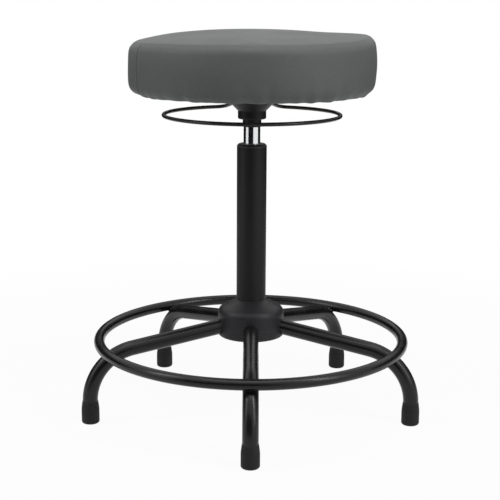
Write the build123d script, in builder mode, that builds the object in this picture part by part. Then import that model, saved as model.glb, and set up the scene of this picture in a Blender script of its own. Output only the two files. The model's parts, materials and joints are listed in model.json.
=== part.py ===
from build123d import *
from math import cos, radians, sin, sqrt, tan
import os

os.makedirs("parts", exist_ok=True)

# A round work stool on a gas lift, in millimetres and degrees. The floor is z = 0, the lift
# stands on the Z axis, the front leg points to -Y, and the seat is at its lowest.

# Clearances
press_gap = 0.02
running_gap = 0.05
free_gap = 0.3

# Legs, foot ring and rubber tips
leg_names = ["front", "front_right", "rear_right", "rear_left", "front_left"]
leg_diameter = 25.4
leg_wall = 2.0
leg_bend_radius = 87.0
leg_slope = 9.2
foot_circle_radius = 282.0
foot_ring_inset = 22.0
foot_ring_diameter = 18.0
foot_ring_wall = 2.0
ring_vent_diameter = 5.0
weld_width = 14.0
weld_root_width = 5.0
tip_height = 38.0
tip_wall = 2.2
tip_lip = 0.5
tip_taper = 13.0
tip_shoulder_rounding = 60.0
tip_floor = 6.0
tip_rounding = 4.0

# Hub: two pressed shells round a tapered sleeve
hub_diameter = 113.0
hub_wall = 2.5
hub_room_below = 2.5
hub_room_above = 16.6
hub_dome_rise = 16.0
hub_shoulder_rounding = 14.0
hub_bottom_rounding = 4.0
sleeve_wall = 6.0
sleeve_proud = 2.0
sleeve_rise = 6.0

# Column of the gas lift
column_diameter = 50.0
column_wall = 2.0
column_proud = 3.0
taper_angle = 1.4378
guide_length = 100.0
guide_cap_height = 4.5
guide_cap_chamfer = 3.0

# Bearing at the foot of the column
floor_recess = 5.5
floor_thickness = 3.0
rod_diameter = 10.0
rod_neck_diameter = 8.0
rod_groove_depth = 1.0
rod_end_length = 2.0
clip_thickness = 1.2
clip_width = 4.0
washer_width = 8.5
washer_thickness = 1.5
ball_diameter = 3.5
ball_count = 9
bump_stop_width = 6.0
bump_stop_height = 16.0

# Gas spring
lift_stroke = 254.0
tube_diameter = 28.0
tube_wall = 2.0
gland_length = 24.0
piston_length = 15.0
piston_ring_width = 2.5
piston_ring_height = 4.0
stroke_spare = 2.0
gas_reserve = 39.8
valve_length = 30.0
tube_exposed = 28.5

# Socket and pressed pan under the seat
socket_neck_wall = 1.6
socket_neck_length = 13.0
socket_collar_width = 8.0
socket_collar_height = 13.5
socket_collar_rounding = 2.0
socket_lip = 1.0
socket_taper_lead = 5.0
tube_proud = 2.5
pan_wall = 2.5
pan_cone_angle = 45.0
plate_size = 160.0
plate_thickness = 3.0
plate_corner = 14.0
window_width = 46.0
window_sill = 1.0
window_lintel = 1.5

# Release lever, hoop and valve button
button_diameter = 8.0
button_height = 6.0
button_insert = 10.0
button_dome = 12.0
button_travel = 3.5
lever_width = 22.0
lever_thickness = 3.0
lever_reach = 22.0
lever_headroom = 4.2
pivot_offset = 20.0
pivot_diameter = 6.0
pivot_rise = 4.2
pivot_sleeve_wall = 2.0
pin_proud = 1.5
wire_diameter = 6.35
wire_spacing = 15.0
wire_run = 46.0
wire_bend_radius = 15.0
hoop_radius = 147.0
hoop_drop = 25.5
hoop_end_offset = 66.0
hoop_lead = 20.0

# Seat
seat_diameter = 406.6
seat_thickness = 101.0
seat_crown = 13.0
seat_side_bulge = 1.5
seat_shoulder_radius = 21.0
seat_bottom_radius = 20.0
cover_thickness = 1.2
cover_hem_width = 30.0
board_thickness = 12.0
board_rounding = 6.0
bolt_spacing = 116.0
bolt_diameter = 8.0
bolt_head_width = 13.0
bolt_head_height = 5.3
bolt_end_clear = 1.0
tee_barrel_wall = 1.0
tee_flange_width = 5.0
tee_flange_thickness = 1.6

# Radii that several pieces share
leg_radius = leg_diameter / 2
hub_radius = hub_diameter / 2
column_radius = column_diameter / 2
sleeve_radius = column_radius + sleeve_wall
tube_radius = tube_diameter / 2
rod_radius = rod_diameter / 2
rod_neck_radius = rod_neck_diameter / 2
wire_radius = wire_diameter / 2
ring_radius = foot_circle_radius - foot_ring_inset
ring_tube_radius = foot_ring_diameter / 2
taper = tan(radians(taper_angle))
slope = tan(radians(leg_slope))
turn = radians(90 - leg_slope)

# The leg's straight run falls from the column axis to a corner over the foot, which the bend rounds
leg_corner_height = tip_height + leg_bend_radius * tan(turn / 2)
leg_root_height = leg_corner_height + slope * foot_circle_radius
leg_hub_height = leg_corner_height + slope * (foot_circle_radius - hub_radius)
bend_centre_radius = foot_circle_radius - leg_bend_radius

# The foot ring lies on the outside of the leg bends
ring_reach = leg_bend_radius + leg_radius + ring_tube_radius + press_gap
ring_height = tip_height + sqrt(ring_reach**2 - (ring_radius - bend_centre_radius) ** 2)

# Heights, from the hub up to the seat
hub_bottom = leg_hub_height - leg_radius - hub_wall - hub_room_below
hub_shoulder = leg_hub_height + leg_radius + hub_room_above
hub_top = hub_shoulder + hub_dome_rise
sleeve_bottom = hub_bottom - sleeve_proud
sleeve_top = hub_shoulder + sleeve_rise
column_bottom = sleeve_bottom - column_proud
floor_bottom = column_bottom + floor_recess
floor_top = floor_bottom + floor_thickness
ball_height = floor_top + washer_thickness + ball_diameter / 2
upper_washer_bottom = floor_top + washer_thickness + ball_diameter + running_gap
rod_shoulder = upper_washer_bottom + washer_thickness
tube_bottom = rod_shoulder + bump_stop_height + free_gap
gland_top = tube_bottom + gland_length
piston_bottom = gland_top + lift_stroke + stroke_spare
piston_top = piston_bottom + piston_length
valve_bottom = piston_top + gas_reserve
tube_top = valve_bottom + valve_length
socket_top = tube_top - tube_proud
pan_floor_top = socket_top - socket_lip
pan_bottom = pan_floor_top - pan_wall
collar_bottom = pan_bottom - socket_collar_height
neck_bottom = collar_bottom - socket_neck_length
tube_taper_start = neck_bottom - socket_taper_lead
column_top = neck_bottom - tube_exposed
column_tube_top = column_top - guide_cap_height
button_top = tube_top + button_height
lever_bottom = button_top + free_gap
lever_top = lever_bottom + lever_thickness
pivot_height = lever_top + pivot_rise - lever_thickness / 2
pivot_sleeve_radius = pivot_diameter / 2 + pivot_sleeve_wall
wire_height = lever_top + wire_radius + press_gap
hoop_height = wire_height - hoop_drop
flange_bottom = pivot_height + pivot_sleeve_radius + lever_headroom
plate_top = flange_bottom + plate_thickness
seat_bottom = plate_top - cover_thickness
seat_top = seat_bottom + seat_thickness
board_top = plate_top + board_thickness
seat_edge_radius = seat_diameter / 2 - seat_side_bulge
board_flat_radius = seat_edge_radius - seat_bottom_radius
board_radius = board_flat_radius + board_rounding


def column_outside(height):
    """Outside radius of the column: straight above the sleeve, tapered inside it."""
    return column_radius - max(0, sleeve_top - height) * taper


def tube_outside(height):
    """Outside radius of the pressure tube: straight below the socket, tapered inside it."""
    return tube_radius - max(0, height - tube_taper_start) * taper


def turned_section(*points):
    """Closed section of (radius, height) corners, to turn about the Z axis."""
    with BuildSketch(Plane.XZ) as section:
        with BuildLine():
            Polyline(*points, close=True)
        make_face()
    return section.sketch


def ring_section(inner_radius, outer_radius, bottom, top):
    """Section of a plain ring."""
    corners = [(inner_radius, bottom), (outer_radius, bottom), (outer_radius, top), (inner_radius, top)]
    return turned_section(*corners)


def leg_plane(index):
    """Upright plane of one leg: local x runs outwards, local y runs up."""
    angle = radians(360 * index / len(leg_names) - 90)
    return Plane(
        origin=(0, 0, 0),
        x_dir=(cos(angle), sin(angle), 0),
        z_dir=(sin(angle), -cos(angle), 0),
    )


def foot_plane(index):
    """Upright plane of one leg, with its origin on the floor under the foot."""
    plane = leg_plane(index)
    return Plane(
        origin=plane.from_local_coords((foot_circle_radius, 0, 0)),
        x_dir=plane.x_dir,
        z_dir=plane.z_dir,
    )


# Legs: bent tubes, coped to the sleeve at the hub end
for index, name in enumerate(leg_names):
    with BuildPart() as leg:
        with BuildLine(leg_plane(index)) as leg_path:
            FilletPolyline(
                (0, leg_root_height),
                (foot_circle_radius, leg_corner_height),
                (foot_circle_radius, tip_floor),
                radius=leg_bend_radius,
            )
        with BuildSketch(Plane(origin=leg_path.line @ 0, z_dir=leg_path.line % 0)):
            Circle(leg_radius)
            Circle(leg_radius - leg_wall, mode=Mode.SUBTRACT)
        sweep()
        Cylinder(sleeve_radius + press_gap, 4 * leg_root_height, mode=Mode.SUBTRACT)
    leg.part.label = f"leg_{name}"
    export_step(leg.part, f"parts/leg_{name}.step")

# Rubber tips: blind sleeves over the leg ends, tapered at the mouth
tip_bore = leg_radius + running_gap
tip_radius = leg_radius + tip_wall
for index, name in enumerate(leg_names):
    with BuildPart() as tip:
        with BuildSketch(foot_plane(index)) as tip_section:
            with BuildLine():
                Polyline(
                    (0, 0),
                    (tip_radius, 0),
                    (tip_radius, tip_height - tip_taper),
                    (leg_radius + tip_lip, tip_height),
                    (tip_bore, tip_height),
                    (tip_bore, tip_floor),
                    (0, tip_floor),
                    close=True,
                )
            make_face()
            fillet(tip_section.vertices().group_by(Axis.X)[-1].sort_by(Axis.Y)[-1], tip_shoulder_rounding)
            fillet(tip_section.vertices().group_by(Axis.Y)[0].sort_by(Axis.X)[-1], tip_rounding)
        revolve(axis=Axis(foot_plane(index).origin, (0, 0, 1)))
    tip.part.label = f"tip_{name}"
    export_step(tip.part, f"parts/tip_{name}.step")

# Foot ring: a hollow hoop with a drain hole under it at the rear
with BuildPart() as foot_ring:
    with Locations((0, 0, ring_height)):
        Torus(ring_radius, ring_tube_radius)
        Torus(ring_radius, ring_tube_radius - foot_ring_wall, mode=Mode.SUBTRACT)
    with Locations((0, ring_radius, ring_height)):
        Cylinder(
            ring_vent_diameter / 2,
            foot_ring_diameter,
            align=(Align.CENTER, Align.CENTER, Align.MAX),
            mode=Mode.SUBTRACT,
        )
foot_ring.part.label = "foot_ring"
export_step(foot_ring.part, "parts/foot_ring.step")

# Weld beads: a collar round each place where the foot ring touches a leg bend
lean_out = (ring_radius - bend_centre_radius) / ring_reach
lean_up = (ring_height - tip_height) / ring_reach
contact_reach = leg_bend_radius + leg_radius
contact = (bend_centre_radius + contact_reach * lean_out, tip_height + contact_reach * lean_up, 0)
with BuildPart() as ring_welds:
    for index, name in enumerate(leg_names):
        plane = leg_plane(index)
        touch = plane.from_local_coords(contact)
        outward = plane.from_local_coords((lean_out, lean_up, 0))
        with BuildSketch(Plane(origin=touch, z_dir=outward)):
            Circle(weld_width / 2)
            Circle(weld_root_width / 2, mode=Mode.SUBTRACT)
        extrude(amount=ring_tube_radius, both=True)
        bend_centre = plane.from_local_coords((bend_centre_radius, tip_height, 0))
        with Locations(Plane(origin=bend_centre, z_dir=plane.z_dir)):
            Torus(leg_bend_radius, leg_radius, mode=Mode.SUBTRACT)
    with Locations((0, 0, ring_height)):
        Torus(ring_radius, ring_tube_radius, mode=Mode.SUBTRACT)
ring_welds.part.label = "ring_welds"
export_step(ring_welds.part, "parts/ring_welds.step")

# Hub sleeve: takes the column's taper, and the legs are welded to its side
with BuildPart() as hub_sleeve:
    revolve(
        turned_section(
            (column_outside(sleeve_bottom) + press_gap, sleeve_bottom),
            (sleeve_radius, sleeve_bottom),
            (sleeve_radius, sleeve_top),
            (column_outside(sleeve_top) + press_gap, sleeve_top),
        ),
        axis=Axis.Z,
    )
hub_sleeve.part.label = "hub_sleeve"
export_step(hub_sleeve.part, "parts/hub_sleeve.step")


def hub_section(inset):
    """Section of the hub from the axis to its skin, or to a line inside the skin."""
    side = hub_radius - inset
    with BuildSketch(Plane.XZ) as section:
        with BuildLine():
            Polyline(
                (0, hub_bottom + inset),
                (side, hub_bottom + inset),
                (side, hub_shoulder - inset / 2),
                (column_radius, hub_top - inset),
                (0, hub_top - inset),
                close=True,
            )
        make_face()
        fillet(section.vertices().sort_by_distance((side, hub_bottom))[0], hub_bottom_rounding - inset)
        fillet(section.vertices().sort_by_distance((side, hub_shoulder))[0], hub_shoulder_rounding - inset)
    return section.sketch


# Hub shells: an upper and a lower pressing that meet at the height of the leg axes
for name, kept_half in (("upper", Keep.TOP), ("lower", Keep.BOTTOM)):
    with BuildPart() as hub_shell:
        revolve(hub_section(0), axis=Axis.Z)
        revolve(hub_section(hub_wall), axis=Axis.Z, mode=Mode.SUBTRACT)
        split(bisect_by=Plane.XY.offset(leg_hub_height), keep=kept_half)
        bore_radius = column_radius + press_gap if kept_half == Keep.TOP else sleeve_radius + press_gap
        Cylinder(bore_radius, 2 * hub_top, mode=Mode.SUBTRACT)
        for index in range(len(leg_names)):
            outwards = leg_plane(index).x_dir - Vector(0, 0, slope)
            with BuildSketch(Plane(origin=(0, 0, leg_root_height), z_dir=outwards)):
                Circle(leg_radius + press_gap)
            extrude(amount=hub_diameter, mode=Mode.SUBTRACT)
    hub_shell.part.label = f"hub_shell_{name}"
    export_step(hub_shell.part, f"parts/hub_shell_{name}.step")

# Column tube: tapered at the foot to lock in the sleeve
with BuildPart() as column_tube:
    revolve(
        turned_section(
            (column_outside(column_bottom) - column_wall, column_bottom),
            (column_outside(column_bottom), column_bottom),
            (column_outside(sleeve_top), sleeve_top),
            (column_radius, column_tube_top),
            (column_radius - column_wall, column_tube_top),
            (column_outside(sleeve_top) - column_wall, sleeve_top),
        ),
        axis=Axis.Z,
    )
column_tube.part.label = "column_tube"
export_step(column_tube.part, "parts/column_tube.step")

# Column guide: a long bush for the pressure tube, with a cap on the column's rim
guide_bore = tube_radius + running_gap
with BuildPart() as column_guide:
    revolve(
        turned_section(
            (guide_bore, column_top - guide_length),
            (column_radius - column_wall - press_gap, column_top - guide_length),
            (column_radius - column_wall - press_gap, column_tube_top),
            (column_radius, column_tube_top),
            (column_radius, column_top - guide_cap_chamfer),
            (column_radius - guide_cap_chamfer, column_top),
            (guide_bore, column_top),
        ),
        axis=Axis.Z,
    )
column_guide.part.label = "column_guide"
export_step(column_guide.part, "parts/column_guide.step")

# Column floor: the plate in the column's foot that carries the bearing
with BuildPart() as column_floor:
    revolve(
        turned_section(
            (rod_neck_radius + free_gap, floor_bottom),
            (column_outside(floor_bottom) - column_wall - press_gap, floor_bottom),
            (column_outside(floor_top) - column_wall - press_gap, floor_top),
            (rod_neck_radius + free_gap, floor_top),
        ),
        axis=Axis.Z,
    )
column_floor.part.label = "column_floor"
export_step(column_floor.part, "parts/column_floor.step")

# Thrust bearing: a fixed lower washer, balls, and an upper washer that turns with the rod
washer_radius = rod_neck_radius + washer_width
with BuildPart() as thrust_washer_lower:
    revolve(
        ring_section(rod_neck_radius + free_gap, washer_radius, floor_top, floor_top + washer_thickness),
        axis=Axis.Z,
    )
thrust_washer_lower.part.label = "thrust_washer_lower"
export_step(thrust_washer_lower.part, "parts/thrust_washer_lower.step")

with BuildPart() as thrust_balls:
    with Locations((0, 0, ball_height)):
        with PolarLocations(rod_neck_radius + washer_width / 2, ball_count):
            Sphere(ball_diameter / 2)
thrust_balls.part.label = "thrust_balls"
export_step(thrust_balls.part, "parts/thrust_balls.step")

with BuildPart() as thrust_washer_upper:
    revolve(
        ring_section(rod_neck_radius + press_gap, washer_radius, upper_washer_bottom, rod_shoulder),
        axis=Axis.Z,
    )
thrust_washer_upper.part.label = "thrust_washer_upper"
export_step(thrust_washer_upper.part, "parts/thrust_washer_upper.step")

# Piston rod: necked at both ends, with a groove under the floor for its clip
clip_top = floor_bottom - free_gap
clip_bottom = clip_top - clip_thickness
groove_radius = rod_neck_radius - rod_groove_depth
with BuildPart() as piston_rod:
    revolve(
        turned_section(
            (0, clip_bottom - rod_end_length),
            (rod_neck_radius, clip_bottom - rod_end_length),
            (rod_neck_radius, clip_bottom - press_gap),
            (groove_radius, clip_bottom - press_gap),
            (groove_radius, clip_top + press_gap),
            (rod_neck_radius, clip_top + press_gap),
            (rod_neck_radius, rod_shoulder),
            (rod_radius, rod_shoulder),
            (rod_radius, piston_bottom),
            (rod_neck_radius, piston_bottom),
            (rod_neck_radius, piston_top),
            (0, piston_top),
        ),
        axis=Axis.Z,
    )
piston_rod.part.label = "piston_rod"
export_step(piston_rod.part, "parts/piston_rod.step")

# Rod clip: an open spring clip pushed on from the side
clip_radius = rod_neck_radius + clip_width
with BuildPart() as rod_clip:
    with BuildSketch(Plane.XY.offset(clip_bottom)):
        Circle(clip_radius)
        Circle(groove_radius + press_gap, mode=Mode.SUBTRACT)
        with Locations((clip_radius, 0)):
            Rectangle(2 * clip_radius, 2 * groove_radius - rod_groove_depth, mode=Mode.SUBTRACT)
    extrude(amount=clip_thickness)
rod_clip.part.label = "rod_clip"
export_step(rod_clip.part, "parts/rod_clip.step")

# Bump stop: a rubber ring that the pressure tube comes down on
with BuildPart() as bump_stop:
    revolve(
        ring_section(
            rod_radius + press_gap,
            rod_radius + bump_stop_width,
            rod_shoulder,
            rod_shoulder + bump_stop_height,
        ),
        axis=Axis.Z,
    )
bump_stop.part.label = "bump_stop"
export_step(bump_stop.part, "parts/bump_stop.step")

# Piston and its ring, on the rod's upper neck
tube_bore = tube_radius - tube_wall
piston_radius = tube_bore - 2 * running_gap
piston_groove = piston_radius - piston_ring_width
ring_bottom = (piston_bottom + piston_top - piston_ring_height) / 2
ring_top = ring_bottom + piston_ring_height
with BuildPart() as piston:
    revolve(
        turned_section(
            (rod_neck_radius + press_gap, piston_bottom),
            (piston_radius, piston_bottom),
            (piston_radius, ring_bottom),
            (piston_groove, ring_bottom),
            (piston_groove, ring_top),
            (piston_radius, ring_top),
            (piston_radius, piston_top),
            (rod_neck_radius + press_gap, piston_top),
        ),
        axis=Axis.Z,
    )
piston.part.label = "piston"
export_step(piston.part, "parts/piston.step")

with BuildPart() as piston_ring:
    revolve(
        ring_section(
            piston_groove + press_gap,
            tube_bore - running_gap,
            ring_bottom + press_gap,
            ring_top - press_gap,
        ),
        axis=Axis.Z,
    )
piston_ring.part.label = "piston_ring"
export_step(piston_ring.part, "parts/piston_ring.step")

# Pressure tube: the bright tube, tapered at the top for the socket
with BuildPart() as pressure_tube:
    revolve(
        turned_section(
            (tube_bore, tube_bottom),
            (tube_radius, tube_bottom),
            (tube_radius, tube_taper_start),
            (tube_outside(tube_top), tube_top),
            (tube_bore, tube_top),
        ),
        axis=Axis.Z,
    )
pressure_tube.part.label = "pressure_tube"
export_step(pressure_tube.part, "parts/pressure_tube.step")

# Rod gland: guide and seal of the rod in the tube's lower end
with BuildPart() as rod_gland:
    revolve(
        ring_section(rod_radius + running_gap, tube_bore - press_gap, tube_bottom, gland_top),
        axis=Axis.Z,
    )
rod_gland.part.label = "rod_gland"
export_step(rod_gland.part, "parts/rod_gland.step")

# Valve head: closes the tube's upper end and guides the button
button_radius = button_diameter / 2
valve_bore = button_radius + running_gap
valve_bore_bottom = tube_top - button_insert - button_travel
with BuildPart() as valve_head:
    revolve(
        turned_section(
            (0, valve_bottom),
            (tube_bore - press_gap, valve_bottom),
            (tube_bore - press_gap, tube_top),
            (valve_bore, tube_top),
            (valve_bore, valve_bore_bottom),
            (0, valve_bore_bottom),
        ),
        axis=Axis.Z,
    )
valve_head.part.label = "valve_head"
export_step(valve_head.part, "parts/valve_head.step")

# Valve button: a pin with a domed end
dome_drop = button_dome - sqrt(button_dome**2 - button_radius**2)
with BuildPart() as valve_button:
    with BuildSketch(Plane.XZ):
        with BuildLine():
            Line((button_radius, button_top - dome_drop), (button_radius, tube_top - button_insert))
            Line((button_radius, tube_top - button_insert), (0, tube_top - button_insert))
            Line((0, tube_top - button_insert), (0, button_top))
            TangentArc((0, button_top), (button_radius, button_top - dome_drop), tangent=(1, 0))
        make_face()
    revolve(axis=Axis.Z)
valve_button.part.label = "valve_button"
export_step(valve_button.part, "parts/valve_button.step")

# Taper socket: neck and collar under the pan, bored to the tube's taper
neck_radius = tube_radius + socket_neck_wall
collar_radius = neck_radius + socket_collar_width
with BuildPart() as taper_socket:
    revolve(
        turned_section(
            (tube_outside(neck_bottom) + press_gap, neck_bottom),
            (neck_radius, neck_bottom),
            (neck_radius, collar_bottom),
            (collar_radius, collar_bottom),
            (collar_radius, pan_bottom),
            (neck_radius, pan_bottom),
            (neck_radius, socket_top),
            (tube_outside(socket_top) + press_gap, socket_top),
        ),
        axis=Axis.Z,
    )
    collar_edges = taper_socket.edges().filter_by(GeomType.CIRCLE).group_by(SortBy.RADIUS)[-1]
    fillet(collar_edges.sort_by(Axis.Z)[0], socket_collar_rounding)
taper_socket.part.label = "taper_socket"
export_step(taper_socket.part, "parts/taper_socket.step")

# Seat plate: a square flange pressed down into a cone, with a window at the rear for the lever
cone_spread = tan(radians(pan_cone_angle))
cone_skin = pan_wall / cos(radians(pan_cone_angle))


def cone_outside(height):
    """Outside radius of the pan's cone."""
    return collar_radius + (height - pan_bottom) * cone_spread


pin_holes_radius = pivot_diameter / 2 + press_gap
pin_half_length = sqrt(cone_outside(pivot_height) ** 2 - pivot_offset**2) + pin_proud
with BuildPart() as seat_plate:
    with BuildSketch(Plane.XY.offset(flange_bottom)):
        RectangleRounded(plate_size, plate_size, plate_corner)
        Circle(cone_outside(flange_bottom) - cone_skin, mode=Mode.SUBTRACT)
        with GridLocations(bolt_spacing, bolt_spacing, 2, 2):
            Circle(bolt_diameter / 2 + free_gap, mode=Mode.SUBTRACT)
    extrude(amount=plate_thickness)
    revolve(
        turned_section(
            (neck_radius + press_gap, pan_bottom),
            (collar_radius, pan_bottom),
            (cone_outside(flange_bottom), flange_bottom),
            (cone_outside(flange_bottom) - cone_skin, flange_bottom),
            (cone_outside(pan_floor_top) - cone_skin, pan_floor_top),
            (neck_radius + press_gap, pan_floor_top),
        ),
        axis=Axis.Z,
    )
    with BuildSketch(Plane.XY.offset(pan_floor_top + window_sill)):
        with Locations((0, neck_radius)):
            Rectangle(window_width, plate_size, align=(Align.CENTER, Align.MIN))
    extrude(amount=flange_bottom - window_lintel - pan_floor_top - window_sill, mode=Mode.SUBTRACT)
    with BuildSketch(Plane.YZ):
        with Locations((-pivot_offset, pivot_height)):
            Circle(pin_holes_radius)
    extrude(amount=plate_size / 2, both=True, mode=Mode.SUBTRACT)
seat_plate.part.label = "seat_plate"
export_step(seat_plate.part, "parts/seat_plate.step")

# Pivot pin: through the cone's walls in front of the button
with BuildPart() as pivot_pin:
    with BuildSketch(Plane.YZ):
        with Locations((-pivot_offset, pivot_height)):
            Circle(pivot_diameter / 2)
    extrude(amount=pin_half_length, both=True)
pivot_pin.part.label = "pivot_pin"
export_step(pivot_pin.part, "parts/pivot_pin.step")

# Release lever: a plate over the button with a sleeve round the pivot pin
with BuildPart() as release_lever:
    with BuildSketch(Plane.XY.offset(lever_bottom)):
        with Locations((0, -pivot_offset)):
            Rectangle(lever_width, pivot_offset + lever_reach, align=(Align.CENTER, Align.MIN))
    extrude(amount=lever_thickness)
    with BuildSketch(Plane.YZ):
        with Locations((-pivot_offset, pivot_height)):
            Circle(pivot_sleeve_radius)
    extrude(amount=lever_width / 2, both=True)
    with BuildSketch(Plane.YZ):
        with Locations((-pivot_offset, pivot_height)):
            Circle(pivot_diameter / 2 + running_gap)
    extrude(amount=lever_width, both=True, mode=Mode.SUBTRACT)
release_lever.part.label = "release_lever"
export_step(release_lever.part, "parts/release_lever.step")

# Release hoop: one bent wire, welded on the lever, out through the window and round under the seat
hoop_end = Vector(hoop_end_offset, sqrt(hoop_radius**2 - hoop_end_offset**2), hoop_height)
hoop_tangent = Vector(-hoop_end.Y, hoop_end.X, 0) / hoop_radius
wire_start = -pivot_offset + pivot_sleeve_radius + free_gap
with BuildPart() as release_hoop:
    with BuildLine() as hoop_path:
        right_leg = FilletPolyline(
            (wire_spacing / 2, wire_start, wire_height),
            (wire_spacing / 2, wire_run, wire_height),
            hoop_end + hoop_tangent * hoop_lead,
            hoop_end,
            radius=wire_bend_radius,
        )
        ThreePointArc(
            right_leg @ 1,
            (0, -hoop_radius, hoop_height),
            (-hoop_end.X, hoop_end.Y, hoop_height),
        )
        mirror(right_leg, about=Plane.YZ)
    with BuildSketch(Plane(origin=right_leg @ 0, z_dir=right_leg % 0)):
        Circle(wire_radius)
    sweep()
release_hoop.part.label = "release_hoop"
export_step(release_hoop.part, "parts/release_hoop.step")


def cushion_section(inset):
    """Section of the cushion from the axis to its skin, or to a line inside the skin."""
    edge = seat_edge_radius - inset
    top = seat_top - inset
    bottom = seat_bottom + inset
    with BuildSketch(Plane.XZ) as section:
        with BuildLine():
            TangentArc((0, top), (edge, top - seat_crown), tangent=(1, 0))
            ThreePointArc(
                (edge, top - seat_crown),
                (edge + seat_side_bulge, (top - seat_crown + bottom) / 2),
                (edge, bottom),
            )
            Polyline((edge, bottom), (0, bottom), (0, top))
        make_face()
        fillet(section.vertices().sort_by_distance((edge, bottom))[0], seat_bottom_radius - inset)
        fillet(section.vertices().sort_by_distance((edge, top))[0], seat_shoulder_radius - inset)
    return section.sketch


# Seat board: a plywood disc with a rounded lower edge and holes for the tee nuts
barrel_radius = bolt_diameter / 2 + running_gap + tee_barrel_wall
tee_radius = barrel_radius + tee_flange_width
with BuildPart() as seat_board:
    with BuildSketch(Plane.XY.offset(plate_top)):
        Circle(board_radius)
    extrude(amount=board_thickness)
    fillet(seat_board.faces().sort_by(Axis.Z)[0].edges(), board_rounding)
    with Locations((0, 0, board_top)):
        with GridLocations(bolt_spacing, bolt_spacing, 2, 2):
            CounterBoreHole(barrel_radius + press_gap, tee_radius + press_gap, tee_flange_thickness)
seat_board.part.label = "seat_board"
export_step(seat_board.part, "parts/seat_board.step")

# Tee nuts: flush in the top of the board
with BuildPart() as tee_nuts:
    with BuildSketch(Plane.XY.offset(plate_top + press_gap)):
        with GridLocations(bolt_spacing, bolt_spacing, 2, 2):
            Circle(barrel_radius)
    extrude(amount=board_thickness - press_gap)
    with BuildSketch(Plane.XY.offset(board_top - tee_flange_thickness)):
        with GridLocations(bolt_spacing, bolt_spacing, 2, 2):
            Circle(tee_radius)
    extrude(amount=tee_flange_thickness)
    with BuildSketch(Plane.XY.offset(plate_top)):
        with GridLocations(bolt_spacing, bolt_spacing, 2, 2):
            Circle(bolt_diameter / 2 + running_gap)
    extrude(amount=board_thickness, mode=Mode.SUBTRACT)
tee_nuts.part.label = "tee_nuts"
export_step(tee_nuts.part, "parts/tee_nuts.step")

# Plate bolts: hex heads under the flange
with BuildPart() as plate_bolts:
    with BuildSketch(Plane.XY.offset(flange_bottom)):
        with GridLocations(bolt_spacing, bolt_spacing, 2, 2):
            RegularPolygon(bolt_head_width / 2, 6, major_radius=False)
    extrude(amount=-bolt_head_height)
    with BuildSketch(Plane.XY.offset(flange_bottom)):
        with GridLocations(bolt_spacing, bolt_spacing, 2, 2):
            Circle(bolt_diameter / 2)
    extrude(amount=board_top - flange_bottom - bolt_end_clear)
plate_bolts.part.label = "plate_bolts"
export_step(plate_bolts.part, "parts/plate_bolts.step")

# Seat foam: crowned, and wrapped round the edge of the board
with BuildPart() as seat_foam:
    revolve(cushion_section(cover_thickness + press_gap), axis=Axis.Z)
    with BuildSketch(Plane.XY.offset(seat_bottom)):
        Circle(board_radius + press_gap)
    extrude(amount=board_top - seat_bottom, mode=Mode.SUBTRACT)
seat_foam.part.label = "seat_foam"
export_step(seat_foam.part, "parts/seat_foam.step")

# Seat cover: a skin over the foam, with a hem folded in under the board
with BuildPart() as seat_cover:
    revolve(cushion_section(0), axis=Axis.Z)
    revolve(cushion_section(cover_thickness), axis=Axis.Z, mode=Mode.SUBTRACT)
    with BuildSketch(Plane.XY.offset(seat_bottom)):
        Circle(board_flat_radius - cover_hem_width)
    extrude(amount=cover_thickness, mode=Mode.SUBTRACT)
seat_cover.part.label = "seat_cover"
export_step(seat_cover.part, "parts/seat_cover.step")
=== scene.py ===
import json
import math

import bmesh
import bpy
from mathutils import Euler, Matrix, Vector, noise
from mathutils.bvhtree import BVHTree


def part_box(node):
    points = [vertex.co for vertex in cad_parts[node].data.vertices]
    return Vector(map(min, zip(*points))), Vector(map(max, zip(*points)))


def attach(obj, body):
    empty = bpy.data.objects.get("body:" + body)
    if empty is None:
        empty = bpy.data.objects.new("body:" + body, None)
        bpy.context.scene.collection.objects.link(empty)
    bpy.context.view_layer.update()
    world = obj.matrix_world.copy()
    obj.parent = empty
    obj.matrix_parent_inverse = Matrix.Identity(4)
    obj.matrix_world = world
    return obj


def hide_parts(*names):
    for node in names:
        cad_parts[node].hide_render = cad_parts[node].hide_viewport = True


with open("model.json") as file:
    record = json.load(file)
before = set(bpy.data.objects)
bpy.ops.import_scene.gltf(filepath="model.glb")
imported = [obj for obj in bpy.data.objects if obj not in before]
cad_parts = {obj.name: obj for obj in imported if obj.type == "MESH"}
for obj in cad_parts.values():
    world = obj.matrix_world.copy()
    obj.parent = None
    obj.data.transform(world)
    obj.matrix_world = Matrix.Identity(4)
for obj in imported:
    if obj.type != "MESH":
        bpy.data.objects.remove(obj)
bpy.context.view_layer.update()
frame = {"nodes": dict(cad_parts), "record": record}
nodes = frame["nodes"]
scene = bpy.context.scene

# Lengths are in metres
MM = 0.001
UP = Vector((0.0, 0.0, 1.0))

# Camera, fitted to the photograph: pitch and roll in degrees, lens and sensor in millimetres
camera_distance = 2.0442
camera_height = 0.7212
camera_side = -0.0022
camera_pitch = 12.21
camera_roll = 0.31
camera_lens = 88.46
camera_sensor = 36.0

# Stage: the floor, the light from all round, what shows of the shadow, and where the lamps aim
floor_size = 16.0
floor_grey = (0.70, 0.70, 0.70, 1.0)
white = (1.0, 1.0, 1.0, 1.0)
card_black = (0.01, 0.01, 0.01, 1.0)
ambient_light = 0.22
shadow_share = 0.05
shadow_reach = (0.55, 1.3)
stool_middle = (0.0, 0.0, 0.3)
seat_middle = (0.0, 0.0, 0.55)
ring_middle = (0.0, 0.0, 0.125)

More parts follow.
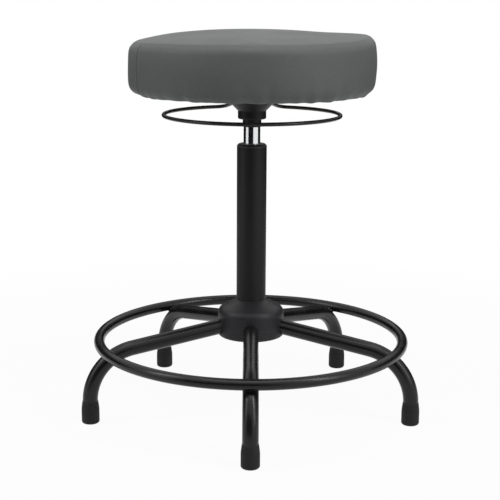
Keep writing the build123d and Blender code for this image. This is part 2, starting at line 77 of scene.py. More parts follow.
# Cushion, from the frame and the sizes of its section
cover_low, cover_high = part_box("seat_cover")
_, board_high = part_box("seat_board")
seat_radius = cover_high.x
seat_top = cover_high.z
seat_bottom = cover_low.z
seat_crown = 13.0 * MM
side_bulge = 1.5 * MM
shoulder_radius = 21.0 * MM
bottom_radius = 20.0 * MM
cover_thickness = 1.2 * MM
hem_width = 30.0 * MM
foam_inset = 6.5 * MM
foam_clearance = 0.5 * MM

# Filling: a closed form just inside the cover, blown up as cloth up to a limit. The cover is laid on it,
# fully from the blend's height up.
fill_inset = 1.5 * MM
fill_limit = 6.0 * MM
fill_blend = 4.5 * MM
side_puff = 3.0 * MM
voxel_size = 5.0 * MM
cloth_pressure = 4.0
cloth_frames = 20
seam_hold = 3.5 * MM

# Sewing: the seam round the shoulder, the upright joint of the side strip and the stitches beside it
seam_depth = 0.65 * MM
seam_half_width = 3.0 * MM
joint_angle = math.radians(-63.5)
joint_depth = 3.0 * MM
joint_half_width = 1.9 * MM
stitch_angle = math.radians(-59.0)
stitch_dent = 1.1 * MM

# Gathers of the lower edge and of the shoulder seam, with sharper tucks between them, full once the cover
# is the free height off the board. Here and below, waves say how fast a noise pattern changes, and a
# start, step or level says where it is read.
gather_height = 3.1 * MM
gather_reach = 15.0 * MM
gather_lead = 0.5
gather_waves = 11.0
seam_gather_height = 0.35 * MM
seam_gather_reach = 7.5 * MM
tuck_share = 0.28
tuck_waves = 9.0
tuck_start = Vector((30.3, 0.0, 0.0))
free_height = 2.0 * MM

# Pleats of the hem, whose spill is a share of the bottom radius
pleat_count = 58
pleat_height = 1.4 * MM
pleat_reach = 10.0 * MM
pleat_spill = 0.15
pleat_sharpness = 3
pleat_wander = 2.6
wander_waves = 6.0
wander_level = 4.0

# Wrinkles, which start at a share of the flat underside's radius and are full a ramp further out
wrinkle_height = 1.25 * MM
wrinkle_waves = Vector((9.0, 9.0, 26.0))
wrinkle_start = 0.8
wrinkle_ramp = 0.3

# Uneven filling: the crown rises, the bottom roll sags, one shoulder is lifted and one dropped
crown_rise = 1.5 * MM
roll_sag = 3.0 * MM
left_sag = 1.2 * MM
left_sag_angle = math.radians(-75.0)
left_sag_width = math.radians(45.0)
lift_height = 8.5 * MM
lift_angle = math.radians(96.0)
lift_width = math.radians(40.0)
lift_reach = 46.2 * MM
drop_height = 3.4 * MM
drop_angle = math.radians(-84.0)
drop_width = math.radians(26.0)

# Rows and steps of the cushion's meshes
turn_steps = 210
joint_fan = math.radians(6.5)
joint_columns = 20
top_rows = 14
shoulder_rows = 10
side_rows = 9
bottom_rows = 10
hem_rows = 5
cap_step = 12
cap_share = 0.5
axis_radius = 0.001 * MM

# Thread, whose rise and sink are in thread radii
stitch_length = 3.6 * MM
stitch_pitch = 4.8 * MM
stitch_margin = 2 * stitch_pitch
stitch_radius = 0.42 * MM
stitch_rise = 1.1
stitch_sink = 0.6
stitch_end_share = 0.55
stitch_sides = 6
stitch_rings = 7

# Staples: the bend is in shares of the width along and of the wire down, the section in shares of the wire
staple_count = 56
staple_width = 10.0 * MM
staple_wire = 0.7 * MM
staple_inset = 17.0 * MM
staple_bend = ((-0.5, -0.6), (-0.47, 0.35), (-0.4, 0.6), (0.4, 0.6), (0.47, 0.35), (0.5, -0.6))
staple_section = ((-0.9, -0.25), (-0.9, 0.2), (-0.5, 0.3), (0.5, 0.3), (0.9, 0.2), (0.9, -0.25))
staple_shift = 0.3
shift_step = 1.7
staple_lean = math.radians(14.0)
lean_step = 2.3
lean_level = 5.0
staple_aim_depth = 20.0 * MM

# Shaders: the sockets of a colour mix node, the range that most noise lies in, and the cosines between a
# face and its bevelled edge from which wear starts and is full
mix_factor, mix_first, mix_second, mix_result = 0, 6, 7, 2
noise_span = (0.3, 0.7)
edge_facing = (0.985, 0.86)
edge_samples = 6


# Shader helpers

def add_node(tree, kind, inputs=None, **settings):
    """A new node with its settings, and with values or links on its inputs."""
    made = tree.nodes.new(kind)
    for name, value in settings.items():
        setattr(made, name, value)
    for name, value in (inputs or {}).items():
        if isinstance(value, bpy.types.NodeSocket):
            tree.links.new(value, made.inputs[name])
        else:
            made.inputs[name].default_value = value
    return made


def new_material(name, color, metallic=0.0):
    """A material with one Principled shader. Returns it, its tree, its shader and its coordinates."""
    material = bpy.data.materials.new(name)
    material.use_nodes = True
    tree = material.node_tree
    shader = tree.nodes["Principled BSDF"]
    shader.inputs["Base Color"].default_value = (*color, 1.0)
    shader.inputs["Metallic"].default_value = metallic
    place = add_node(tree, "ShaderNodeTexCoord").outputs["Object"]
    return material, tree, shader, place


def noise_field(tree, place, scale, detail, stretch=(1.0, 1.0, 1.0)):
    """Noise with that many features per metre, stretched along the axes."""
    mapping = add_node(tree, "ShaderNodeMapping", {"Vector": place, "Scale": stretch})
    field = add_node(tree, "ShaderNodeTexNoise",
                     {"Vector": mapping.outputs["Vector"], "Scale": scale, "Detail": detail})
    return field.outputs["Fac"]


def remap(tree, value, span, onto):
    """The value moved from one range to another and held inside it."""
    made = add_node(tree, "ShaderNodeMapRange", {
        "Value": value, "From Min": span[0], "From Max": span[1], "To Min": onto[0], "To Max": onto[1],
    })
    return made.outputs["Result"]


def math_node(tree, operation, first, second):
    """The result of an operation on two values."""
    return add_node(tree, "ShaderNodeMath", {0: first, 1: second}, operation=operation).outputs["Value"]


def mix_color(tree, factor, first, second):
    """One colour over another by a factor."""
    made = add_node(tree, "ShaderNodeMix", {mix_factor: factor}, data_type="RGBA")
    for socket, color in ((mix_first, first), (mix_second, second)):
        if isinstance(color, bpy.types.NodeSocket):
            tree.links.new(color, made.inputs[socket])
        else:
            made.inputs[socket].default_value = (*color, 1.0)
    return made.outputs[mix_result]


def edge_wear(tree, radius, share):
    """How worn a point is: up to that share along sharp edges, and 0 on smooth faces."""
    bevel = add_node(tree, "ShaderNodeBevel", {"Radius": radius}, samples=edge_samples)
    geometry = add_node(tree, "ShaderNodeNewGeometry")
    facing = add_node(tree, "ShaderNodeVectorMath",
                      {0: bevel.outputs["Normal"], 1: geometry.outputs["Normal"]}, operation="DOT_PRODUCT")
    on_edge = remap(tree, facing.outputs["Value"], edge_facing, (0.0, 1.0))
    return math_node(tree, "MULTIPLY", on_edge, share)


def set_color(tree, shader, color):
    """The shader's colour, from a node."""
    tree.links.new(color, shader.inputs["Base Color"])


def set_roughness(tree, shader, field, onto, span=noise_span):
    """The shader's roughness, between two values by a noise field."""
    tree.links.new(remap(tree, field, span, onto), shader.inputs["Roughness"])


def set_bump(tree, shader, height, strength, distance):
    """Relief of that depth on the shader."""
    made = add_node(tree, "ShaderNodeBump", {"Height": height, "Strength": strength, "Distance": distance})
    tree.links.new(made.outputs["Normal"], shader.inputs["Normal"])


# Materials

def black_paint():
    """Gloss black powder coat: fine orange peel, and a little rubbed grey on the edges."""
    material, tree, shader, place = new_material("black_paint", (0.008, 0.008, 0.009))
    dark, light, worn = (0.006, 0.006, 0.007), (0.010, 0.010, 0.011), (0.085, 0.085, 0.088)
    peel = noise_field(tree, place, scale=420.0, detail=2.0)
    cloud = noise_field(tree, place, scale=24.0, detail=4.0)
    rubbed = noise_field(tree, place, scale=160.0, detail=5.0)
    wear = edge_wear(tree, radius=0.9 * MM, share=remap(tree, rubbed, (0.45, 0.70), (0.0, 0.8)))
    set_color(tree, shader, mix_color(tree, wear, mix_color(tree, cloud, dark, light), worn))
    set_roughness(tree, shader, cloud, (0.22, 0.31))
    shader.inputs["Specular IOR Level"].default_value = 0.30
    set_bump(tree, shader, peel, strength=0.02, distance=0.4 * MM)
    return material


def satin_paint(name, dark, light, specular):
    """Satin black paint of the column, the pan and the hub: finer and duller than the powder coat."""
    material, tree, shader, place = new_material(name, dark)
    worn = (0.07, 0.07, 0.072)
    grain = noise_field(tree, place, scale=900.0, detail=3.0)
    cloud = noise_field(tree, place, scale=18.0, detail=4.0)
    rubbed = noise_field(tree, place, scale=30.0, detail=4.0, stretch=(1.0, 1.0, 0.25))
    wear = edge_wear(tree, radius=0.9 * MM, share=0.6)
    set_color(tree, shader, mix_color(tree, wear, mix_color(tree, cloud, dark, light), worn))
    set_roughness(tree, shader, rubbed, (0.40, 0.52))
    shader.inputs["Specular IOR Level"].default_value = specular
    set_bump(tree, shader, grain, strength=0.10, distance=0.3 * MM)
    return material


def chrome():
    """Polished chrome with faint draw lines and wiped haze."""
    material, tree, shader, place = new_material("chrome", (0.78, 0.79, 0.80), metallic=1.0)
    dark, light = (0.72, 0.73, 0.745), (0.82, 0.83, 0.84)
    haze = noise_field(tree, place, scale=45.0, detail=4.0)
    lines = noise_field(tree, place, scale=60.0, detail=2.0, stretch=(1.0, 1.0, 60.0))
    set_color(tree, shader, mix_color(tree, haze, dark, light))
    set_roughness(tree, shader, haze, (0.11, 0.19), span=(0.3, 0.75))
    set_bump(tree, shader, lines, strength=0.02, distance=0.1 * MM)
    return material


def bare_steel():
    """Zinc plated and machined steel."""
    material, tree, shader, place = new_material("bare_steel", (0.50, 0.50, 0.50), metallic=1.0)
    dark, light, worn = (0.40, 0.40, 0.39), (0.58, 0.58, 0.575), (0.75, 0.75, 0.75)
    cloud = noise_field(tree, place, scale=70.0, detail=5.0)
    lines = noise_field(tree, place, scale=150.0, detail=3.0, stretch=(1.0, 1.0, 14.0))
    wear = edge_wear(tree, radius=0.6 * MM, share=0.7)
    set_color(tree, shader, mix_color(tree, wear, mix_color(tree, cloud, dark, light), worn))
    set_roughness(tree, shader, cloud, (0.26, 0.44))
    set_bump(tree, shader, lines, strength=0.12, distance=0.2 * MM)
    return material


def black_plastic():
    """Moulded satin plastic with a fine spark-eroded grain."""
    material, tree, shader, place = new_material("black_plastic", (0.017, 0.017, 0.018))
    dark, light, worn = (0.014, 0.014, 0.015), (0.022, 0.022, 0.023), (0.06, 0.06, 0.062)
    grain = noise_field(tree, place, scale=1600.0, detail=2.0)
    cloud = noise_field(tree, place, scale=40.0, detail=4.0)
    wear = edge_wear(tree, radius=0.8 * MM, share=0.5)
    set_color(tree, shader, mix_color(tree, wear, mix_color(tree, cloud, dark, light), worn))
    set_roughness(tree, shader, cloud, (0.42, 0.55))
    set_bump(tree, shader, grain, strength=0.18, distance=0.2 * MM)
    return material


def black_rubber():
    """Matt rubber, dusty and scuffed towards its edges."""
    material, tree, shader, place = new_material("black_rubber", (0.024, 0.024, 0.025))
    dark, dusty, worn = (0.006, 0.006, 0.007), (0.013, 0.013, 0.014), (0.060, 0.059, 0.058)
    grain = noise_field(tree, place, scale=900.0, detail=4.0)
    dust = noise_field(tree, place, scale=55.0, detail=6.0)
    wear = edge_wear(tree, radius=1.4 * MM, share=remap(tree, dust, (0.4, 0.65), (0.1, 0.8)))
    shade = mix_color(tree, remap(tree, dust, (0.42, 0.75), (0.0, 1.0)), dark, dusty)
    set_color(tree, shader, mix_color(tree, wear, shade, worn))
    set_roughness(tree, shader, dust, (0.60, 0.78))
    shader.inputs["Specular IOR Level"].default_value = 0.32
    set_bump(tree, shader, grain, strength=0.22, distance=0.3 * MM)
    return material


def grey_vinyl():
    """Grained upholstery vinyl with a soft sheen: small pebbled cells, with painted shade darkening the
    grooves between.
    """
    material, tree, shader, place = new_material("grey_vinyl", (0.110, 0.116, 0.115))
    dark, light = (0.098, 0.105, 0.104), (0.122, 0.128, 0.127)
    # The last colour is painted shade, laid into the grooves of the grain
    mottled, painted_groove_shade = (0.090, 0.097, 0.096), (0.062, 0.067, 0.066)
    fine_share = 0.25
    cells = add_node(tree, "ShaderNodeTexVoronoi", {"Vector": place, "Scale": 720.0, "Randomness": 0.9},
                     feature="DISTANCE_TO_EDGE")
    pebble = remap(tree, cells.outputs["Distance"], (0.0, 0.22), (0.0, 1.0))
    fine = noise_field(tree, place, scale=2600.0, detail=2.0)
    cloud = noise_field(tree, place, scale=9.0, detail=4.0)
    mottle = noise_field(tree, place, scale=130.0, detail=4.0)
    shade = mix_color(tree, cloud, dark, light)
    shade = mix_color(tree, remap(tree, mottle, (0.35, 0.7), (0.0, 0.35)), shade, mottled)
    # Painted shade: the colour darkens towards the grooves between the pebbles, where shade falls
    set_color(tree, shader, mix_color(tree, remap(tree, pebble, (0.0, 0.5), (0.45, 0.0)), shade, painted_groove_shade))
    set_roughness(tree, shader, cloud, (0.46, 0.60))
    shader.inputs["Specular IOR Level"].default_value = 0.35
    height = math_node(tree, "ADD", pebble, math_node(tree, "MULTIPLY", fine, fine_share))
    set_bump(tree, shader, height, strength=0.35, distance=0.3 * MM)
    return material


def thread_material():
    """Polyester thread of the cover's colour, with a fine uneven relief."""
    material, tree, shader, place = new_material("grey_thread", (0.11, 0.116, 0.115))
    dark, light = (0.085, 0.09, 0.09), (0.15, 0.156, 0.155)
    twist = noise_field(tree, place, scale=1800.0, detail=2.0)
    set_color(tree, shader, mix_color(tree, twist, dark, light))
    shader.inputs["Roughness"].default_value = 0.65
    set_bump(tree, shader, twist, strength=0.4, distance=0.2 * MM)
    return material


def foam_material():
    """Open-celled cushion foam, yellowed a little."""
    material, tree, shader, place = new_material("foam", (0.72, 0.66, 0.50))
    dark, light = (0.64, 0.57, 0.40), (0.76, 0.70, 0.55)
    cells = add_node(tree, "ShaderNodeTexVoronoi", {"Vector": place, "Scale": 900.0})
    cloud = noise_field(tree, place, scale=14.0, detail=4.0)
    set_color(tree, shader, mix_color(tree, cloud, dark, light))
    shader.inputs["Roughness"].default_value = 0.95
    set_bump(tree, shader, cells.outputs["Distance"], strength=0.6, distance=0.6 * MM)
    return material


def plywood():
    """Raw birch plywood: long grain, paler clouds and dark pores."""
    material, tree, shader, place = new_material("plywood", (0.55, 0.40, 0.25))
    pale, dark = (0.58, 0.43, 0.27), (0.40, 0.27, 0.155)
    clouded, pored = (0.62, 0.49, 0.33), (0.20, 0.125, 0.07)
    grain = noise_field(tree, place, scale=16.0, detail=6.0, stretch=(1.0, 14.0, 6.0))
    pores = noise_field(tree, place, scale=130.0, detail=3.0, stretch=(1.0, 18.0, 8.0))
    cloud = noise_field(tree, place, scale=5.0, detail=3.0)
    shade = mix_color(tree, remap(tree, grain, noise_span, (0.0, 1.0)), pale, dark)
    shade = mix_color(tree, remap(tree, cloud, (0.35, 0.7), (0.0, 0.4)), shade, clouded)
    set_color(tree, shader, mix_color(tree, remap(tree, pores, (0.62, 0.72), (0.0, 0.55)), shade, pored))
    set_roughness(tree, shader, grain, (0.55, 0.75))
    set_bump(tree, shader, pores, strength=0.25, distance=0.3 * MM)
    return material


def set_material(piece, material):
    """That material alone on the piece."""
    piece.data.materials.clear()
    piece.data.materials.append(material)


materials = {
    "black_paint": black_paint(),
    "chrome": chrome(),
    "bare_steel": bare_steel(),
    "black_plastic": black_plastic(),
    "black_rubber": black_rubber(),
    "grey_vinyl": grey_vinyl(),
    "foam": foam_material(),
    "plywood": plywood(),
}
thread = thread_material()
column_paint = satin_paint("column_paint", (0.006, 0.006, 0.007), (0.010, 0.010, 0.011), specular=0.22)
hub_paint = satin_paint("hub_paint", (0.015, 0.015, 0.0175), (0.021, 0.021, 0.024), specular=0.28)

for subpart in frame["record"]["subparts"]:
    set_material(nodes[subpart["node"]], materials[subpart["material_slot"]])
for name in ("column_tube", "seat_plate", "taper_socket"):
    set_material(nodes[name], column_paint)
for name in ("hub_shell_upper", "hub_shell_lower"):
    set_material(nodes[name], hub_paint)


# Angles, directions and curves round the seat

def azimuth(place):
    """Angle round the seat from the front, positive to the right."""
    return math.atan2(place.x, -place.y)


def outward_at(angle):
    """Level direction away from the axis at an angle round the seat."""
    return Vector((math.sin(angle), -math.cos(angle), 0.0))


def quarter_turn(direction):
    """A level direction turned by a right angle about the axis."""
    return Vector((-direction.y, direction.x, 0.0))


def turn_between(first, second):
    """Smallest turn between two angles."""
    return abs((first - second + math.pi) % (2 * math.pi) - math.pi)


def bell(distance, width):
    """1 at no distance, falling smoothly to 0 over about twice the width."""
    return math.exp(-(distance / width) ** 2)


def arch(share):
    """0 at both ends of a stretch and 1 in its middle, as a parabola."""
    return 4 * share * (1 - share)


# Cushion section and its mesh

def corner_arc(corner, to_start, to_end, radius, steps):
    """Points of the arc that rounds a corner between two directions."""
    to_start, to_end = to_start.normalized(), to_end.normalized()
    half = to_start.angle(to_end) / 2
    centre = corner + (to_start + to_end).normalized() * radius / math.sin(half)
    first = (corner + to_start * radius / math.tan(half) - centre).normalized()
    last = (corner + to_end * radius / math.tan(half) - centre).normalized()
    return [centre + first.slerp(last, step / steps) * radius for step in range(steps + 1)]


def cushion_outline(inset):
    """The cushion's section in stretches: top, shoulder, side, bottom roll. Points are radius and height."""
    edge = seat_radius - side_bulge - inset
    top = seat_top - inset
    bottom = seat_bottom + inset
    shoulder_corner = Vector((edge, top - seat_crown))
    bottom_corner = Vector((edge, bottom))
    depth = shoulder_corner.y - bottom
    # The crown and the side are parabolas, and these are their slopes where they reach the corners
    crown_fall = 2 * seat_crown / edge
    side_lead = 4 * side_bulge
    shoulder = corner_arc(shoulder_corner, Vector((-1.0, crown_fall)), Vector((side_lead, -depth)),
                          shoulder_radius - inset, shoulder_rows)
    roll = corner_arc(bottom_corner, Vector((side_lead, depth)), Vector((-1.0, 0.0)),
                      bottom_radius - inset, bottom_rows)
    crown = []
    for row in range(top_rows):
        radius = shoulder[0].x * row / top_rows
        crown.append(Vector((radius, top - seat_crown * (radius / edge) ** 2)))
    side = []
    for row in range(1, side_rows):
        height = shoulder[-1].lerp(roll[0], row / side_rows).y
        share = (shoulder_corner.y - height) / depth
        side.append(Vector((edge + side_bulge * arch(share), height)))
    return crown, shoulder, side, roll


def turn_angles():
    """Angles of the mesh's columns, closer together beside the upright joint."""
    even = [2 * math.pi * step / turn_steps for step in range(turn_steps)]
    angles = [angle for angle in even if turn_between(angle, joint_angle) > joint_fan]
    for column in range(-joint_columns, joint_columns + 1):
        angles.append((joint_angle + joint_fan * column / joint_columns) % (2 * math.pi))
    return sorted(angles)


def close_middle(mesh, ring, middle):
    """Faces from a ring to the point on the axis inside it, by way of a ring of fewer points."""
    starts = range(0, len(ring), cap_step)
    inner = [mesh.verts.new(ring[start].co.lerp(middle.co, cap_share)) for start in starts]
    for index, start in enumerate(starts):
        end = min(start + cap_step, len(ring))
        after = inner[(index + 1) % len(inner)]
        for step in range(start, end):
            mesh.faces.new((inner[index], ring[step], ring[(step + 1) % len(ring)]))
        mesh.faces.new((inner[index], ring[end % len(ring)], after))
        mesh.faces.new((inner[index], after, middle))


def close_tube(mesh, rings):
    """Faces between rings of equal count, with both ends closed."""
    count = len(rings[0])
    for upper, lower in zip(rings, rings[1:]):
        for step in range(count):
            after = (step + 1) % count
            mesh.faces.new((upper[step], upper[after], lower[after], lower[step]))
    mesh.faces.new(rings[0][::-1])
    mesh.faces.new(rings[-1])
    bmesh.ops.recalc_face_normals(mesh, faces=mesh.faces)


def finish_mesh(name, mesh):
    """A smooth-shaded object from a bmesh, linked to the scene."""
    data = bpy.data.meshes.new(name)
    mesh.to_mesh(data)
    mesh.free()
    for face in data.polygons:
        face.use_smooth = True
    made = bpy.data.objects.new(name, data)
    scene.collection.objects.link(made)
    return made


def revolve_rows(name, outline):
    """A mesh turned from an outline, closed at each end of it that lies on the axis."""
    mesh = bmesh.new()
    angles = turn_angles()
    rings = []
    for point in outline:
        if point.x < axis_radius:
            rings.append([mesh.verts.new((0.0, 0.0, point.y))])
            continue
        ring = []
        for angle in angles:
            ring.append(mesh.verts.new((point.x * math.sin(angle), -point.x * math.cos(angle), point.y)))
        rings.append(ring)
    for upper, lower in zip(rings, rings[1:]):
        if len(upper) == 1:
            close_middle(mesh, lower, upper[0])
        elif len(lower) == 1:
            close_middle(mesh, upper, lower[0])
        else:
            for step in range(len(angles)):
                after = (step + 1) % len(angles)
                mesh.faces.new((upper[step], lower[step], lower[after], upper[after]))
    bmesh.ops.recalc_face_normals(mesh, faces=mesh.faces)
    return finish_mesh(name, mesh)


crown, shoulder, side, roll = cushion_outline(0.0)
shoulder_seam = shoulder[shoulder_rows // 2]
flat_radius = roll[-1].x


# Cushion: how it is filled, sewn and pulled

def upright_line_distance(place, angle):
    """How far a point is from an upright line on the side strip at that angle."""
    return turn_between(azimuth(place), angle) * math.hypot(place.x, place.y)


def shoulder_seam_distance(place):
    """How far a point is from the seam round the shoulder."""
    return math.hypot(math.hypot(place.x, place.y) - shoulder_seam.x, place.z - shoulder_seam.y)


def on_side_strip(place):
    """True for a point of the side strip, from the shoulder seam down to the flat underside."""
    return seat_bottom < place.z < shoulder_seam.y and math.hypot(place.x, place.y) > flat_radius


def filled_form():
    """The stuffed shape: a closed form, held at its seams and on its underside, and blown up as cloth."""
    inner = [point for stretch in cushion_outline(fill_inset) for point in stretch]
    inner.append(Vector((0.0, inner[-1].y)))
    form = revolve_rows("filled_form", inner)
    remesh = form.modifiers.new("remesh", "REMESH")
    remesh.mode = "VOXEL"
    remesh.voxel_size = voxel_size
    bpy.context.view_layer.objects.active = form
    bpy.ops.object.modifier_apply(modifier=remesh.name)
    held = form.vertex_groups.new(name="held")
    for vertex in form.data.vertices:
        near_seam = shoulder_seam_distance(vertex.co) < seam_hold + fill_inset
        near_joint = on_side_strip(vertex.co) and upright_line_distance(vertex.co, joint_angle) < seam_hold
        if near_seam or near_joint or vertex.co.z < seat_bottom + fill_inset + cover_thickness:
            held.add([vertex.index], 1.0, "REPLACE")
    before = [vertex.co.copy() for vertex in form.data.vertices]
    cloth = form.modifiers.new("cloth", "CLOTH")
    cloth.settings.use_pressure = True
    cloth.settings.uniform_pressure_force = cloth_pressure
    cloth.settings.effector_weights.gravity = 0.0
    cloth.settings.vertex_group_mass = held.name
    cloth.point_cache.frame_start = 1
    cloth.point_cache.frame_end = cloth_frames
    for step in range(1, cloth_frames + 1):
        scene.frame_set(step)
    bpy.ops.object.modifier_apply(modifier=cloth.name)
    scene.frame_set(1)
    for vertex, start in zip(form.data.vertices, before):
        moved = vertex.co - start
        if moved.length > fill_limit:
            vertex.co = start + moved.normalized() * fill_limit
    return form


def sewn_depth(place):
    """How far the sewing draws a point in."""
    depth = seam_depth * bell(shoulder_seam_distance(place), seam_half_width)
    if on_side_strip(place):
        joint = joint_depth * bell(upright_line_distance(place, joint_angle), joint_half_width)
        stitch = stitch_dent * bell(upright_line_distance(place, stitch_angle), joint_half_width)
        depth = max(depth, joint, stitch)
    return depth


def gathered(angle):
    """Gathers of the cover at an angle: soft swells, and sharper tucks between them."""
    around = Vector((math.cos(angle), math.sin(angle), 0.0))
    tuck = max(0.0, 1.0 - abs(noise.noise(around * tuck_waves + tuck_start)) / tuck_share)
    return gather_lead + noise.noise(around * gather_waves) - tuck


def pleated(angle):
    """Small pleats of the hem, 0 to 1, with uneven steps."""
    around = Vector((math.cos(angle), math.sin(angle), wander_level))
    wander = pleat_wander * noise.noise(around * wander_waves)
    return max(0.0, math.cos(pleat_count * angle + wander)) ** pleat_sharpness


def strip_share(place):
    """How far up the side strip a point lies: 0 at the bottom, 1 at the shoulder seam and above."""
    return min(1.0, max(0.0, place.z - seat_bottom) / (shoulder_seam.y - seat_bottom))


def outward_move(place):
    """How far a point of the cover moves along its normal once it is sewn, gathered and filled."""
    radius = math.hypot(place.x, place.y)
    height = max(0.0, place.z - seat_bottom)
    off_board = min(1.0, height / free_height)
    gather = gathered(azimuth(place))
    near_edge = math.exp(-height / gather_reach) * off_board
    near_seam = math.exp(-shoulder_seam_distance(place) / seam_gather_reach)
    wrinkled = min(1.0, max(0.0, (radius / flat_radius - wrinkle_start) / wrinkle_ramp))
    move = gather * (gather_height * near_edge + seam_gather_height * near_seam)
    move += noise.noise(place * wrinkle_waves) * wrinkle_height * wrinkled * off_board
    if radius > flat_radius:
        move += side_puff * arch(strip_share(place))
    return move - sewn_depth(place)


def upward_move(place):
    """How far a point of the cover moves up or down where the filling and the hem are uneven."""
    angle = azimuth(place)
    radius = math.hypot(place.x, place.y)
    height = max(0.0, place.z - seat_bottom)
    past_board = max(0.0, radius - flat_radius) / bottom_radius
    lift = lift_height * bell(turn_between(angle, lift_angle), lift_width)
    lift -= drop_height * bell(turn_between(angle, drop_angle), drop_width)
    sag = roll_sag + left_sag * bell(turn_between(angle, left_sag_angle), left_sag_width)
    move = lift * bell(shoulder_seam_distance(place), lift_reach)
    move += crown_rise * strip_share(place) ** 2
    move -= sag * min(1.0, past_board) * bell(height, bottom_radius)
    if radius > flat_radius - hem_width:
        move -= pleat_height * pleated(angle) * bell(height, pleat_reach) * bell(past_board, pleat_spill)
    return move


# Cushion: its pieces

def seat_cover():
    """The vinyl cover: top panel, side strip and hem, laid over the filled form."""
    hem = [Vector((flat_radius - hem_width * row / hem_rows, seat_bottom)) for row in range(1, hem_rows + 1)]
    cover = revolve_rows("vinyl_cover", [*crown, *shoulder, *side, *roll, *hem])
    form = filled_form()
    skin = BVHTree.FromObject(form, bpy.context.evaluated_depsgraph_get())
    normals = [vertex.normal.copy() for vertex in cover.data.vertices]
    for vertex, normal in zip(cover.data.vertices, normals):
        place = vertex.co.copy()
        if place.z > seat_bottom + cover_thickness:
            filled = skin.find_nearest(place)[0]
            place = place.lerp(filled, min(1.0, (place.z - seat_bottom) / fill_blend))
        vertex.co = place + normal * outward_move(place) + UP * upward_move(place)
    bpy.data.objects.remove(form)
    smooth = cover.modifiers.new("smooth", "SUBSURF")
    smooth.levels = smooth.render_levels = 1
    shell = cover.modifiers.new("thickness", "SOLIDIFY")
    shell.thickness = cover_thickness
    shell.offset = -1.0
    set_material(cover, materials["grey_vinyl"])
    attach(cover, "seat")
    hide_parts("seat_cover")
    return cover


def seat_foam():
    """The foam pad inside the cover, down over the edge of the board."""
    outline = [point for stretch in cushion_outline(foam_inset) for point in stretch]
    board_edge = board_high.x + foam_clearance
    outline.append(Vector((board_edge, outline[-1].y)))
    outline.append(Vector((board_edge, board_high.z)))
    outline.append(Vector((0.0, board_high.z)))
    foam = revolve_rows("foam_pad", outline)
    set_material(foam, materials["foam"])
    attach(foam, "seat")
    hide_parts("seat_foam")


def stitch_row(skin):
    """One row of stitches down the side strip, each a short thread that dips into the cover at its ends."""
    mesh = bmesh.new()
    top = shoulder_seam.y - stitch_margin
    bottom = seat_bottom + bottom_radius
    outward = outward_at(stitch_angle)
    across = quarter_turn(outward)
    for stitch in range(int((top - bottom) / stitch_pitch)):
        rings = []
        for step in range(stitch_rings):
            share = step / (stitch_rings - 1)
            height = top - stitch_pitch * stitch - stitch_length * share
            outside = outward * 2 * seat_radius + UP * height
            place, normal = skin.ray_cast(outside, -outward)[:2]
            swell = math.sin(math.pi * share)
            middle = place + normal * stitch_radius * (stitch_rise * swell - stitch_sink)
            thickness = stitch_radius * (stitch_end_share + (1 - stitch_end_share) * swell)
            ring = []
            for corner in range(stitch_sides):
                turn = 2 * math.pi * corner / stitch_sides
                spoke = normal * math.cos(turn) + across * math.sin(turn)
                ring.append(mesh.verts.new(middle + spoke * thickness))
            rings.append(ring)
        close_tube(mesh, rings)
    stitches = finish_mesh("side_stitches", mesh)
    set_material(stitches, thread)
    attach(stitches, "seat")


def hem_staples(skin):
    """Staples that hold the hem to the board: a bent wire each, its legs pressed into the cover."""
    mesh = bmesh.new()
    radius = flat_radius - staple_inset
    for index in range(staple_count):
        shift = staple_shift * noise.noise(Vector((index * shift_step, 0.0, 0.0)))
        lean = staple_lean * noise.noise(Vector((index * lean_step, lean_level, 0.0)))
        outward = outward_at(2 * math.pi * (index + shift) / staple_count)
        along = Matrix.Rotation(lean, 3, "Z") @ quarter_turn(outward)
        flank = quarter_turn(along)
        below = outward * radius + UP * (seat_bottom - staple_aim_depth)
        face = skin.ray_cast(below, UP)[0]
        rings = []
        for share, drop in staple_bend:
            middle = face + along * staple_width * share - UP * staple_wire * drop
            ring = []
            for flat, deep in staple_section:
                ring.append(mesh.verts.new(middle + flank * staple_wire * flat - UP * staple_wire * deep))
            rings.append(ring)
        close_tube(mesh, rings)
    staples = finish_mesh("hem_staples", mesh)
    set_material(staples, materials["bare_steel"])
    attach(staples, "seat")


cover = seat_cover()
seat_foam()
cover_skin = BVHTree.FromObject(cover, bpy.context.evaluated_depsgraph_get())
stitch_row(cover_skin)
hem_staples(cover_skin)


# Stage: floor, white surroundings, lamps and dark cards

def seen_by_eye_or_mirror(tree):
    """1 for camera, mirror and glass rays, which see the white surroundings."""
    path = add_node(tree, "ShaderNodeLightPath").outputs
    either = math_node(tree, "MAXIMUM", path["Is Camera Ray"], path["Is Glossy Ray"])
    return math_node(tree, "MAXIMUM", either, path["Is Transmission Ray"])


def white_world():
    """White to the eye and in reflections, and a dim light on everything else."""
    world = bpy.data.worlds.new("white_surroundings")
    scene.world = world
    world.use_nodes = True
    tree = world.node_tree
    tree.nodes.clear()
    dim = add_node(tree, "ShaderNodeBackground", {"Color": white, "Strength": ambient_light})
    bright = add_node(tree, "ShaderNodeBackground", {"Color": white, "Strength": 1.0})
    mixed = add_node(tree, "ShaderNodeMixShader",
                     {0: seen_by_eye_or_mirror(tree), 1: dim.outputs[0], 2: bright.outputs[0]})
    add_node(tree, "ShaderNodeOutputWorld", {"Surface": mixed.outputs[0]})


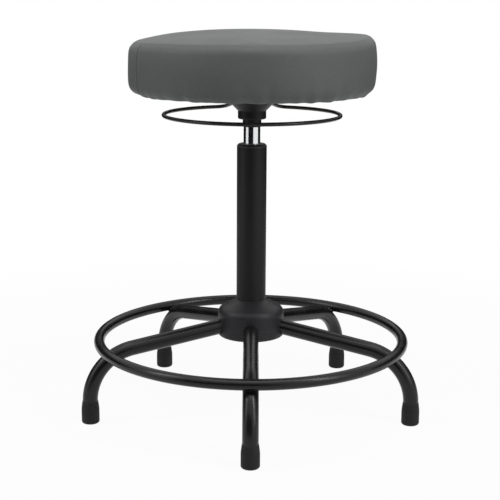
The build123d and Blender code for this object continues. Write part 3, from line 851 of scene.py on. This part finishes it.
def pale_floor():
    """White floor that lets a little of the shadow through near the stool."""
    bpy.ops.mesh.primitive_plane_add(size=floor_size)
    floor = bpy.context.object
    floor.name = "floor"
    material = bpy.data.materials.new("white_floor")
    material.use_nodes = True
    tree = material.node_tree
    tree.nodes.clear()
    place = add_node(tree, "ShaderNodeTexCoord").outputs["Object"]
    distance = add_node(tree, "ShaderNodeVectorMath", {0: place}, operation="LENGTH").outputs["Value"]
    glow = remap(tree, distance, shadow_reach, (1.0 - shadow_share, 1.0))
    matt = add_node(tree, "ShaderNodeBsdfDiffuse", {"Color": floor_grey})
    bright = add_node(tree, "ShaderNodeEmission", {"Color": white, "Strength": 1.0})
    share = math_node(tree, "MULTIPLY", seen_by_eye_or_mirror(tree), glow)
    mixed = add_node(tree, "ShaderNodeMixShader", {0: share, 1: matt.outputs[0], 2: bright.outputs[0]})
    add_node(tree, "ShaderNodeOutputMaterial", {"Surface": mixed.outputs[0]})
    set_material(floor, material)


def softbox(name, place, aim, width, height, power):
    """A rectangular lamp that faces a point."""
    lamp = bpy.data.lights.new(name, "AREA")
    lamp.shape = "RECTANGLE"
    lamp.size = width
    lamp.size_y = height
    lamp.energy = power
    made = bpy.data.objects.new(name, lamp)
    made.location = place
    made.rotation_euler = (Vector(aim) - Vector(place)).to_track_quat("-Z", "Y").to_euler()
    scene.collection.objects.link(made)


def dark_card(name, turn, distance, width, height):
    """A dark card round the object that only reflections show, as a studio has beside bright metal."""
    bpy.ops.mesh.primitive_plane_add(size=1.0)
    card = bpy.context.object
    card.name = name
    angle = math.radians(turn)
    card.location = (distance * math.sin(angle), -distance * math.cos(angle), height / 2)
    card.rotation_euler = (math.pi / 2, 0.0, angle)
    card.scale = (width, height, 1.0)
    material = bpy.data.materials.new(name)
    material.use_nodes = True
    shader = material.node_tree.nodes["Principled BSDF"]
    shader.inputs["Base Color"].default_value = card_black
    shader.inputs["Specular IOR Level"].default_value = 0.0
    set_material(card, material)
    card.visible_camera = False
    card.visible_diffuse = False
    card.visible_shadow = False
    card.visible_transmission = False


white_world()
pale_floor()
softbox("top_light", place=(0.0, -0.3, 2.4), aim=stool_middle, width=1.8, height=1.8, power=19.5)
softbox("front_left_light", place=(-2.4, -1.0, 1.5), aim=seat_middle, width=0.9, height=1.4, power=6.8)
softbox("front_right_light", place=(2.2, -1.5, 1.3), aim=seat_middle, width=0.8, height=1.4, power=13.5)
softbox("left_strip", place=(-1.7, -0.4, 1.9), aim=ring_middle, width=0.16, height=0.9, power=9.0)
softbox("right_strip", place=(1.4, -0.95, 1.9), aim=ring_middle, width=0.16, height=0.9, power=11.0)
dark_card("card_front", turn=-16.0, distance=1.4, width=2.0, height=0.9)
dark_card("card_left", turn=-135.0, distance=1.6, width=3.2, height=0.9)
dark_card("card_right", turn=135.0, distance=1.6, width=3.2, height=0.9)


# Camera

def photo_camera():
    """The camera in front of the stool, tipped down and rolled a little."""
    data = bpy.data.cameras.new("camera")
    data.lens = camera_lens
    data.sensor_width = camera_sensor
    camera = bpy.data.objects.new("camera", data)
    camera.location = (camera_side, -camera_distance, camera_height)
    level = Euler((math.radians(90.0 - camera_pitch), 0.0, 0.0)).to_matrix()
    camera.rotation_euler = (level @ Matrix.Rotation(math.radians(camera_roll), 3, "Z")).to_euler()
    scene.collection.objects.link(camera)
    scene.camera = camera


photo_camera()
scene.view_settings.view_transform = "Standard"
